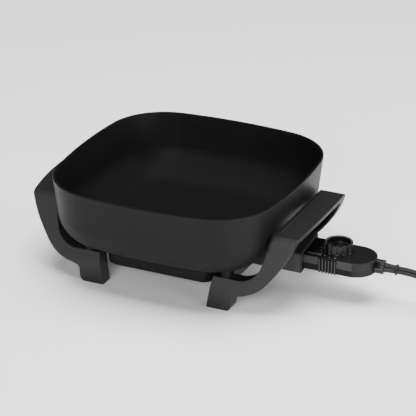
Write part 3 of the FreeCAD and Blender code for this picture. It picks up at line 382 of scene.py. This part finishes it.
tie_ring = [
    (half_width, rim_wall),
    (flat_width, half_wall),
    (-flat_width, half_wall),
    (-half_width, rim_wall),
    (-half_width, -rim_wall),
    (-flat_width, -half_wall),
    (flat_width, -half_wall),
    (half_width, -rim_wall),
]
tie_rings = swept(tie_points, tie_ring, [tie_along] * len(tie_points), closed=True)
tie = skin("coil_strap", tie_rings, tie_crisp_angle, closed=True)

tie_finish = Finish("strap_weave", {
    "Specular IOR Level": 0.3, "Sheen Weight": 0.25, "Sheen Roughness": 0.5,
})
tie_loops = tie_finish.grain(0.0005, 4.0)
tie_cloud = tie_finish.grain(0.004)
tie_finish.surface({
    "Base Color": tie_finish.blend(tie_loops, (0.007, 0.007, 0.007, 1), (0.030, 0.030, 0.031, 1)),
    "Roughness": 0.75 + 0.2 * tie_cloud,
    "Normal": tie_finish.bumps(tie_loops, 0.00025),
})
tie_finish.on(tie)


# Plug: a black moulded two-blade plug with a waisted body for the fingers. The jacket of the cord
# is moulded into its neck, and two stamped brass blades stand in its face, the neutral one wider.

plug_finish = Finish("plug_moulding", {"Specular IOR Level": 0.4})
plug_soft, plug_edge_highlight = plug_finish.rounded(0.0006)
plug_skin = plug_finish.grain(0.0009, 3.0)
# The edges are paler with a painted highlight.
plug_finish.surface({
    "Base Color": plug_finish.blend(plug_edge_highlight, (0.007, 0.007, 0.0075, 1), (0.022, 0.022, 0.023, 1)),
    "Roughness": 0.46 + 0.12 * plug_finish.grain(0.008) - 0.08 * plug_edge_highlight,
    "Normal": plug_finish.bumps(plug_skin, 0.00008, plug_soft),
})
plug_finish.on(nodes["plug_body"])

blade_finish = Finish("plug_blade_brass", {"Metallic": 1.0})
blade_soft, blade_edge = blade_finish.rounded(0.0002)
blade_rub = blade_finish.grain(0.0035, 5.0, (4, 0.4, 4))
blade_finish.surface({
    "Base Color": blade_finish.blend(blade_rub, (0.60, 0.48, 0.27, 1), (0.80, 0.69, 0.44, 1)),
    "Roughness": 0.22 + 0.20 * blade_rub - 0.06 * blade_edge,
    "Normal": blade_finish.bumps(blade_rub, 0.00003, blade_soft),
})
blade_finish.on(nodes["plug_blades"])

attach(cord, "control")
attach(tie, "control")
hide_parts("power_cord", "cord_coil")
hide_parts("cord_tie")


# Strain relief: a soft black moulding over the cord, held by its flange between the two halves of
# the control's case. Its block steps down to a tapering neck that ends in a ring. Outside the case
# it has the cord's two lobes and leans back with them, so their groove looks up and forward.

relief_height = 0.0485
relief_start = 0.20915
case_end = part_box("control_cover")[1][0]
block_end = 0.22815
neck_end = 0.24215
relief_end = 0.24515
relief_crisp_angle = math.radians(38)

# Each row gives the place along X, how far the middle of a lobe is from the joint between the
# lobes, the radius of a lobe, and the share of the cord's lean.
relief_stations = [
    (relief_start, 0.0002, 0.0061, 0),
    (relief_start + 0.0022, 0.0002, 0.0061, 0),
    (relief_start + 0.0022, 0.0010, 0.0039, 0),
    (case_end - 0.0030, 0.0010, 0.0039, 0),
    (case_end - 0.0010, 0.0010, 0.0039, 1),
    (case_end - 0.0002, 0.0035, 0.0049, 1),
    (case_end + 0.0003, 0.0037, 0.0054, 1),
    (block_end - 0.0012, 0.0037, 0.0054, 1),
    (block_end - 0.0003, 0.0036, 0.0052, 1),
    (block_end, 0.0033, 0.0046, 1),
    (block_end + 0.0002, 0.0027, 0.0034, 1),
    (neck_end - 0.0002, 0.0025, 0.0028, 1),
    (neck_end, 0.0026, 0.0038, 1),
    (neck_end + 0.0006, 0.0027, 0.0043, 1),
    (relief_end - 0.0006, 0.0027, 0.0043, 1),
    (relief_end, 0.0026, 0.0038, 1),
]

relief_rings = []
for x, offset, radius, share in relief_stations:
    middle = Vector((x, 0, relief_height))
    wide = Vector((0, math.sin(cord_lean * share), math.cos(cord_lean * share)))
    thick = Vector((1, 0, 0)).cross(wide)
    relief_rings.append([middle + wide * w + thick * t for w, t in twin_ring(offset, radius)])
relief = skin("cord_relief", relief_rings, relief_crisp_angle)

relief_finish = Finish("relief_moulding", {"Specular IOR Level": 0.30})
relief_soft, relief_edge_shade = relief_finish.rounded(0.0004)
relief_skin = relief_finish.grain(0.0007, 3.0)
relief_black = (0.006, 0.006, 0.0063, 1)
# The base colour darkens at the edges and in the groove as painted shade.
relief_finish.surface({
    "Base Color": relief_finish.blend(relief_edge_shade, relief_black, (0.001, 0.001, 0.001, 1)),
    "Roughness": 0.22 + 0.10 * relief_finish.grain(0.006) + 0.45 * relief_edge_shade,
    "Normal": relief_finish.bumps(relief_skin, 0.00004, relief_soft),
})
relief_finish.on(relief)
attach(relief, "control")
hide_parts("strain_relief")


# Pan: one aluminium casting with its skirt and bosses, sprayed inside and out with a black
# non-stick coat that is baked on. The coat is satin and slightly uneven, drier and more matt low
# down, where the spray meets it at a slant, and a little rubbed on the rim. Its edges are paler,
# partly from that rubbing and partly as a painted highlight.

coat_dry_up_to = 0.050
coat_full_from = 0.115
fleck_starts = 0.66
fleck_full = 0.74

pan_finish = Finish("non_stick_coat", {"Specular IOR Level": 0.12})
pan_soft, pan_edge_rub_and_highlight = pan_finish.rounded(0.0008)
pan_cloud = pan_finish.grain(0.045, 3.0)
pan_skin = pan_finish.grain(0.0011, 3.0)
pan_low = 1 - pan_finish.share(pan_finish.xyz()[2], coat_dry_up_to, coat_full_from)
pan_fleck = pan_finish.share(pan_finish.grain(0.0007, 1.0), fleck_starts, fleck_full)
pan_base = pan_finish.blend(pan_cloud, (0.0035, 0.0035, 0.0036, 1), (0.006, 0.006, 0.0062, 1))
pan_base = pan_finish.blend(0.35 * pan_fleck, pan_base, (0.030, 0.030, 0.031, 1))
# The edges are paler, partly rubbed and partly with a painted highlight.
pan_finish.surface({
    "Base Color": pan_finish.blend(0.4 * pan_edge_rub_and_highlight, pan_base, (0.020, 0.020, 0.021, 1)),
    "Roughness": 0.38 + 0.07 * pan_cloud + 0.05 * pan_skin - 0.06 * pan_edge_rub_and_highlight + 0.22 * pan_low,
    "Normal": pan_finish.bumps(pan_skin, 0.00005, pan_soft),
})
pan_finish.on(nodes["pan_body"])


# Heating element: one loop of steel-sheathed tube, half sunk in its pad under the pan, coloured by
# heat. Each cold end leaves through a fired ceramic bush as a nickel-plated contact pin.

element_finish = Finish("heat_stained_sheath", {"Metallic": 1.0})
element_heat = element_finish.grain(0.020, 3.0)
element_tint = element_finish.node("ShaderNodeValToRGB", {"stops": [
    (0.25, (0.22, 0.20, 0.19, 1)),
    (0.45, (0.30, 0.22, 0.15, 1)),
    (0.58, (0.20, 0.17, 0.20, 1)),
    (0.72, (0.33, 0.30, 0.27, 1)),
]}, {"Fac": element_heat})
element_skin = element_finish.grain(0.0008, 3.0)
element_finish.surface({
    "Base Color": element_tint,
    "Roughness": 0.42 + 0.25 * element_heat,
    "Normal": element_finish.bumps(element_skin, 0.00006),
})
element_finish.on(nodes["heating_element"])

ceramic_finish = Finish("fired_ceramic", {"Specular IOR Level": 0.4})
ceramic_soft = ceramic_finish.rounded(0.0003)[0]
ceramic_speck = ceramic_finish.grain(0.0004, 2.0)
ceramic_stain = ceramic_finish.grain(0.003)
ceramic_finish.surface({
    "Base Color": ceramic_finish.blend(ceramic_stain, (0.80, 0.77, 0.70, 1), (0.66, 0.61, 0.53, 1)),
    "Roughness": 0.62 + 0.2 * ceramic_speck,
    "Normal": ceramic_finish.bumps(ceramic_speck, 0.00008, ceramic_soft),
})
ceramic_finish.on(nodes["terminal_insulators"], nodes["thermostat_spacers"])

pin_finish = Finish("nickel_pin", {"Metallic": 1.0})
pin_rub = pin_finish.grain(0.0012, 4.0, (0.15, 1, 1))
pin_finish.surface({
    "Base Color": pin_finish.blend(pin_rub, (0.60, 0.58, 0.53, 1), (0.74, 0.73, 0.70, 1)),
    "Roughness": 0.16 + 0.22 * pin_rub,
    "Normal": pin_finish.bumps(pin_rub, 0.00002),
})
pin_finish.on(nodes["terminal_pins"])


# Handle mouldings: each is one piece of black phenolic, grip, two legs and the bar between them,
# hollow from inside. The mould leaves a fine matte grain, the bend from grip to leg is generously
# rounded, and the edges are rubbed a little shinier. They are also paler, partly from the rubbing
# and partly as a painted highlight.

bend_out = (0.0735, 0.0760)
bend_up = (0.079, 0.083)

handle_finish = Finish("handle_phenolic", {"Specular IOR Level": 0.32})
handle_crisp, handle_edge_rub_and_highlight = handle_finish.rounded(0.0009)
handle_round = handle_finish.rounded(0.0060)[0]
handle_y, handle_z = handle_finish.xyz()[1:]
handle_out = handle_finish.share(abs(handle_y), *bend_out)
handle_up = handle_finish.share(handle_z, *bend_up)

# A Mix node has its vectors on its sockets 4 and 5 and on its output 1.
handle_soft = handle_finish.node("ShaderNodeMix", {"data_type": "VECTOR"}, {
    0: handle_out * handle_up, 4: handle_crisp, 5: handle_round,
}, 1)
handle_cloud = handle_finish.grain(0.030, 3.0)
handle_skin = handle_finish.grain(0.0006, 3.0)
handle_black = (0.008, 0.008, 0.0082, 1)
handle_base = handle_finish.blend(handle_cloud, handle_black, (0.0115, 0.0115, 0.0117, 1))
# The edges are shinier from rubbing and paler, partly rubbed and partly a painted highlight.
handle_finish.surface({
    "Base Color": handle_finish.blend(0.6 * handle_edge_rub_and_highlight, handle_base, (0.036, 0.036, 0.037, 1)),
    "Roughness": 0.43 + 0.07 * handle_cloud + 0.06 * handle_skin - 0.08 * handle_edge_rub_and_highlight,
    "Normal": handle_finish.bumps(handle_skin, 0.00007, handle_soft),
})
handle_finish.on(nodes["right_handle_frame"], nodes["left_handle_frame"])


# Screws: zinc-plated steel, cross-slotted. Four go up through the feet into the pan's bosses, two
# hold the guard, and four close the control's case from below.

screw_finish = Finish("zinc_screw", {"Metallic": 1.0})
screw_soft, screw_edge = screw_finish.rounded(0.0002)
screw_cloud = screw_finish.grain(0.0016, 4.0)
screw_finish.surface({
    "Base Color": screw_finish.blend(screw_cloud, (0.52, 0.53, 0.52, 1), (0.66, 0.65, 0.60, 1)),
    "Roughness": 0.28 + 0.24 * screw_cloud - 0.08 * screw_edge,
    "Normal": screw_finish.bumps(screw_cloud, 0.00003, screw_soft),
})
screw_finish.on(nodes["leg_screws"], nodes["guard_screws"], nodes["control_screws"])


# Guard: a black phenolic shroud screwed under the pan. It keeps fingers off the terminals and
# guides the control on to them. Its slanting mouth has a dull lip left by the mould, darkened with
# painted shade, and its edges are paler with a painted highlight.

mouth_middle = 0.1299
mouth_slant = 0.0809
lip_shade_starts_inside = 0.0024
lip_shade_full_inside = 0.0018

guard_finish = Finish("guard_phenolic", {"Specular IOR Level": 0.45})
guard_soft, guard_edge_highlight = guard_finish.rounded(0.0007)
guard_cloud = guard_finish.grain(0.020, 3.0)
guard_skin = guard_finish.grain(0.0007, 3.0)
guard_x, guard_y = guard_finish.xyz()[:2]
guard_out = guard_x + mouth_slant * guard_y
# A band along the mouth is darkened with painted shade.
guard_lip_shade = guard_finish.share(
    guard_out, mouth_middle - lip_shade_starts_inside, mouth_middle - lip_shade_full_inside,
)
guard_black = (0.016, 0.016, 0.0162, 1)
# The edges are paler with a painted highlight.
guard_base = guard_finish.blend(0.6 * guard_edge_highlight, guard_black, (0.036, 0.036, 0.037, 1))
guard_finish.surface({
    "Base Color": guard_finish.blend(guard_lip_shade, guard_base, (0.0025, 0.0025, 0.0025, 1)),
    "Roughness": 0.42 + 0.10 * guard_cloud - 0.10 * guard_edge_highlight + 0.30 * guard_lip_shade,
    "Normal": guard_finish.bumps(guard_skin, 0.00006, guard_soft),
})
guard_finish.on(nodes["terminal_guard"])


# Control case: two black phenolic halves. The top is polished and the sides are satin. A flat panel
# along each side of the upper half is painted lighter as a reflection, six grip fins stand on it
# with a painted highlight on their faces and painted shade between them, and small pale marks are
# printed round the dial. The lower half is duller, and its side panel is painted darker as shade.

case_top = 0.0580
dial_middle_x = 0.16735
panel_side = 0.0262
panel_end = 0.1952
panel_blur = 0.0001
fin_start = 0.15255
fin_spacing = 0.00405
fin_width = 0.0020
fin_count = 6
fin_face = 0.0284
face_blur = 0.0002
fins_near = 0.0008
fins_clear = 0.0012


def case_parts(finish):
    """Shares of a case half that are side panel, face of a fin, and gap between two fins, where
    light and shade are painted.
    """
    along, sideways = finish.xyz()[:2]
    out = abs(sideways)
    side = finish.share(out, panel_side - panel_blur, panel_side + panel_blur)
    before_end = 1 - finish.share(along, panel_end - panel_blur, panel_end + panel_blur)
    fin_end = fin_start + (fin_count - 1) * fin_spacing + fin_width
    past_first = finish.share(along, fin_start - fins_clear, fin_start - fins_near)
    before_last = 1 - finish.share(along, fin_end + fins_near, fin_end + fins_clear)
    among_fins = past_first * before_last
    proud = finish.share(out, fin_face - face_blur, fin_face + face_blur)
    panel = side * before_end
    return panel * (1 - among_fins), panel * among_fins * proud, panel * among_fins * (1 - proud)


base_finish = Finish("case_phenolic", {"Specular IOR Level": 0.2})
base_soft, base_edge_highlight = base_finish.rounded(0.0005)
base_cloud = base_finish.grain(0.018, 3.0)
base_skin = base_finish.grain(0.0006, 3.0)
base_panel_shade, base_fin_highlight, base_gap_shade = case_parts(base_finish)
base_black = (0.006, 0.006, 0.0062, 1)
# The edges are paler with a painted highlight.
base_colour = base_finish.blend(0.5 * base_edge_highlight, base_black, (0.024, 0.024, 0.025, 1))
# The side panel is darker as painted shade, fin faces lighter as a painted highlight, and the gaps
# between fins darker as painted shade.
base_colour = base_finish.blend(base_panel_shade, base_colour, (0.0022, 0.0022, 0.0023, 1))
base_colour = base_finish.blend(base_fin_highlight, base_colour, (0.030, 0.030, 0.031, 1))
base_colour = base_finish.blend(base_gap_shade, base_colour, (0.0015, 0.0015, 0.0015, 1))
base_finish.surface({
    "Base Color": base_colour,
    "Roughness": 0.42 + 0.10 * base_cloud - 0.08 * base_edge_highlight + 0.25 * base_panel_shade + 0.4 * base_gap_shade,
    "Normal": base_finish.bumps(base_skin, 0.00005, base_soft),
})
base_finish.on(nodes["control_base"])

top_starts_under = 0.0004
top_full_under = 0.0001
mark_spacing = math.radians(20)
mark_half = 0.00035
mark_blur = 0.3
mark_inner_edge = (0.0199, 0.0201)
mark_outer_edge = (0.0223, 0.0225)
mark_clear = (math.radians(66), math.radians(70))

cover_finish = Finish("case_top_phenolic", {"Specular IOR Level": 0.23})
cover_soft, cover_edge_highlight = cover_finish.rounded(0.0005)
cover_cloud = cover_finish.grain(0.018, 3.0)
cover_skin = cover_finish.grain(0.0006, 3.0)
cover_panel_reflection, cover_fin_highlight, cover_gap_shade = case_parts(cover_finish)
cover_x, cover_y, cover_z = cover_finish.xyz()
cover_top = cover_finish.share(cover_z, case_top - top_starts_under, case_top - top_full_under)
ring_x = cover_x - dial_middle_x
ring_reach = (ring_x * ring_x + cover_y * cover_y) ** 0.5
ring_turn = cover_finish.sum("ARCTAN2", cover_y, ring_x)
mark_side = ring_reach * cover_finish.sum("PINGPONG", ring_turn, mark_spacing / 2)
mark_across = 1 - cover_finish.share(
    mark_side, mark_half * (1 - mark_blur), mark_half * (1 + mark_blur),
)
mark_inner = cover_finish.share(ring_reach, *mark_inner_edge)
mark_outer = 1 - cover_finish.share(ring_reach, *mark_outer_edge)
mark_span = cover_finish.share(abs(ring_turn), *mark_clear)
mark = mark_across * mark_inner * mark_outer * mark_span * cover_top
cover_black = (0.007, 0.007, 0.0073, 1)
# The edges are paler with a painted highlight.
cover_colour = cover_finish.blend(0.5 * cover_edge_highlight, cover_black, (0.030, 0.030, 0.031, 1))
# The side panel is lighter as a painted reflection, fin faces as a painted highlight, and the gaps
# between fins darker as painted shade.
cover_colour = cover_finish.blend(cover_panel_reflection + cover_fin_highlight, cover_colour, (0.026, 0.026, 0.027, 1))
cover_colour = cover_finish.blend(cover_gap_shade, cover_colour, (0.0015, 0.0015, 0.0015, 1))
cover_finish.surface({
    "Base Color": cover_finish.blend(mark, cover_colour, (0.16, 0.16, 0.155, 1)),
    "Roughness": 0.40 + 0.08 * cover_cloud - 0.24 * cover_top + 0.25 * mark + 0.4 * cover_gap_shade,
    "Normal": cover_finish.bumps(cover_skin, 0.00004, cover_soft),
})
cover_finish.on(nodes["control_cover"])


# Nose of the control: a black heat-proof moulding that carries two brass sleeves, which grip the
# terminals, and the bright steel tube of the sensing probe.

nose_finish = Finish("nose_phenolic", {"Specular IOR Level": 0.45})
nose_soft, nose_edge_highlight = nose_finish.rounded(0.0004)
nose_skin = nose_finish.grain(0.0009, 3.0)
nose_black = (0.020, 0.019, 0.018, 1)
# The edges are paler with a painted highlight.
nose_finish.surface({
    "Base Color": nose_finish.blend(0.7 * nose_edge_highlight, nose_black, (0.055, 0.052, 0.050, 1)),
    "Roughness": 0.56 + 0.14 * nose_skin,
    "Normal": nose_finish.bumps(nose_skin, 0.00008, nose_soft),
})
nose_finish.on(nodes["contact_block"])

brass_finish = Finish("sleeve_brass", {"Metallic": 1.0})
brass_soft, brass_edge = brass_finish.rounded(0.00015)
brass_tarnish = brass_finish.grain(0.0045, 4.0)
brass_finish.surface({
    "Base Color": brass_finish.blend(brass_tarnish, (0.62, 0.45, 0.20, 1), (0.78, 0.62, 0.34, 1)),
    "Roughness": 0.26 + 0.24 * brass_tarnish - 0.05 * brass_edge,
    "Normal": brass_finish.bumps(brass_tarnish, 0.00003, brass_soft),
})
brass_finish.on(nodes["contact_sleeves"], nodes["lower_contact_leaf"], nodes["upper_contact_leaf"])

probe_finish = Finish("probe_steel", {"Metallic": 1.0})
probe_rub = probe_finish.grain(0.0010, 4.0, (0.1, 1, 1))
probe_heat = probe_finish.grain(0.015)
probe_finish.surface({
    "Base Color": probe_finish.blend(probe_heat, (0.60, 0.58, 0.55, 1), (0.52, 0.46, 0.38, 1)),
    "Roughness": 0.18 + 0.20 * probe_rub,
    "Normal": probe_finish.bumps(probe_rub, 0.00002),
})
probe_finish.on(nodes["sensor_probe"])


# Thermostat inside the case: a folded zinc-plated channel. The dial's turned spindle stands over it
# and presses the moving leaf with its cam.

steel_finish = Finish("plated_strip", {"Metallic": 1.0})
steel_soft, steel_edge = steel_finish.rounded(0.0002)
steel_lines = steel_finish.grain(0.0008, 4.0, (0.08, 1, 1))
steel_finish.surface({
    "Base Color": steel_finish.blend(steel_lines, (0.48, 0.49, 0.48, 1), (0.62, 0.61, 0.57, 1)),
    "Roughness": 0.30 + 0.20 * steel_lines - 0.06 * steel_edge,
    "Normal": steel_finish.bumps(steel_lines, 0.00002, steel_soft),
})
steel_finish.on(nodes["thermostat_frame"], nodes["dial_spindle"])


# Temperature dial: a black phenolic knob with twelve flutes for the fingers, a deep round cup on
# top and a thin raised pointer on the cup's floor. The cup's upper edge carries a pale line of
# painted highlight.

dial_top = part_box("temperature_dial")[1][2]
cup_rim_highlight_from = 0.0150
cup_rim_highlight_to = 0.0156
cup_rim_highlight_blur = 0.0002
cup_rim_highlight_starts_under = 0.0010
cup_rim_highlight_full_under = 0.0006

dial_finish = Finish("dial_phenolic", {"Specular IOR Level": 0.26})
dial_soft, dial_edge_highlight = dial_finish.rounded(0.0007)
dial_cloud = dial_finish.grain(0.012, 3.0)
dial_skin = dial_finish.grain(0.0006, 3.0)
dial_x, dial_y, dial_z = dial_finish.xyz()
dial_out = dial_x - dial_middle_x
dial_reach = (dial_out * dial_out + dial_y * dial_y) ** 0.5
# A thin ring at the cup's upper edge is paler as a painted highlight.
cup_rim_highlight = dial_finish.share(dial_reach, cup_rim_highlight_from - cup_rim_highlight_blur, cup_rim_highlight_from)
cup_rim_highlight = cup_rim_highlight * (1 - dial_finish.share(dial_reach, cup_rim_highlight_to, cup_rim_highlight_to + cup_rim_highlight_blur))
cup_rim_highlight = cup_rim_highlight * dial_finish.share(
    dial_z, dial_top - cup_rim_highlight_starts_under, dial_top - cup_rim_highlight_full_under,
)
# The edges are paler with a painted highlight.
dial_colour = dial_finish.blend(dial_edge_highlight, (0.005, 0.005, 0.0052, 1), (0.120, 0.120, 0.122, 1))
dial_finish.surface({
    "Base Color": dial_finish.blend(cup_rim_highlight, dial_colour, (0.110, 0.110, 0.112, 1)),
    "Roughness": 0.24 + 0.08 * dial_cloud - 0.04 * dial_edge_highlight,
    "Normal": dial_finish.bumps(dial_skin, 0.00004, dial_soft),
})
dial_finish.on(nodes["temperature_dial"])


# Signal lamp: a small neon tube under a narrow lens in the cover. The lens is smoked plastic,
# frosted on top so that it glows evenly, and its edges are paler with a painted highlight.

lens_finish = Finish("frosted_lens", {"Transmission Weight": 0.35, "IOR": 1.49})
lens_soft, lens_edge_highlight = lens_finish.rounded(0.0004)
lens_frost = lens_finish.grain(0.0005, 3.0)
lens_colour = lens_finish.blend(lens_frost, (0.050, 0.045, 0.043, 1), (0.080, 0.072, 0.068, 1))
# The edges are paler with a painted highlight.
lens_finish.surface({
    "Base Color": lens_finish.blend(0.8 * lens_edge_highlight, lens_colour, (0.26, 0.25, 0.245, 1)),
    "Roughness": 0.28 + 0.15 * lens_frost,
    "Normal": lens_finish.bumps(lens_frost, 0.00003, lens_soft),
})
lens_finish.on(nodes["signal_lens"])

lamp_finish = Finish("neon_glass", {"Transmission Weight": 0.85, "IOR": 1.45})
lamp_gas = lamp_finish.grain(0.003)
lamp_finish.surface({
    "Base Color": lamp_finish.blend(lamp_gas, (0.95, 0.72, 0.55, 1), (0.90, 0.60, 0.42, 1)),
    "Roughness": 0.05 + 0.08 * lamp_gas,
})
lamp_finish.on(nodes["signal_lamp"])


# Floor and studio light: a pale sweep of paper under five soft lights. The wide one in front lights
# the legs and the control, one hangs overhead beside a wash that the black parts don't mirror, and
# two on the right light the pan's near corner and draw the bright edge on its side.

floor_mesh = bpy.data.meshes.new("floor")
floor_made = bmesh.new()
bmesh.ops.create_grid(floor_made, x_segments=4, y_segments=4, size=12.0)
floor_made.to_mesh(floor_mesh)
floor_made.free()
floor = bpy.data.objects.new("floor", floor_mesh)
bpy.context.scene.collection.objects.link(floor)
floor_finish = Finish("paper_floor", {"Specular IOR Level": 0.1, "Roughness": 0.9})
floor_cloud = floor_finish.grain(0.5, 2.0)
floor_finish.surface({
    "Base Color": floor_finish.blend(floor_cloud, (0.90, 0.90, 0.90, 1), (0.92, 0.92, 0.92, 1)),
})
floor_finish.on(floor)


def soft_light(name, place, aim, size, power, mirrored=True):
    """Wide light at a place, facing an aim, which glossy surfaces mirror or not."""
    data = bpy.data.lights.new(name, "AREA")
    data.shape = "RECTANGLE"
    data.size = size[0]
    data.size_y = size[1]
    data.energy = power
    light = bpy.data.objects.new(name, data)
    bpy.context.scene.collection.objects.link(light)
    light.location = place
    light.rotation_euler = (Vector(place) - Vector(aim)).to_track_quat("Z", "Y").to_euler()
    light.visible_glossy = mirrored


soft_light("front_light", (0.3, -2.4, 1.1), (0.1, 0, 0.05), (2.0, 0.8), 55)
soft_light("overhead_light", (0.0, -0.3, 2.3), (0, 0, 0), (1.2, 1.2), 30)
soft_light("floor_wash", (0.0, 0.1, 2.4), (0, 0, 0), (2.0, 2.0), 100, mirrored=False)
soft_light("far_right_light", (1.9, 0.9, 0.9), (0, 0, 0.1), (0.8, 1.6), 30)
soft_light("low_right_light", (1.6, -0.75, 0.25), (0.1, -0.1, 0.09), (0.9, 0.4), 22)

world = bpy.data.worlds.new("studio")
world.use_nodes = True
world.node_tree.nodes["Background"].inputs["Color"].default_value = (1.0, 1.0, 1.0, 1)
world.node_tree.nodes["Background"].inputs["Strength"].default_value = 0.08
bpy.context.scene.world = world
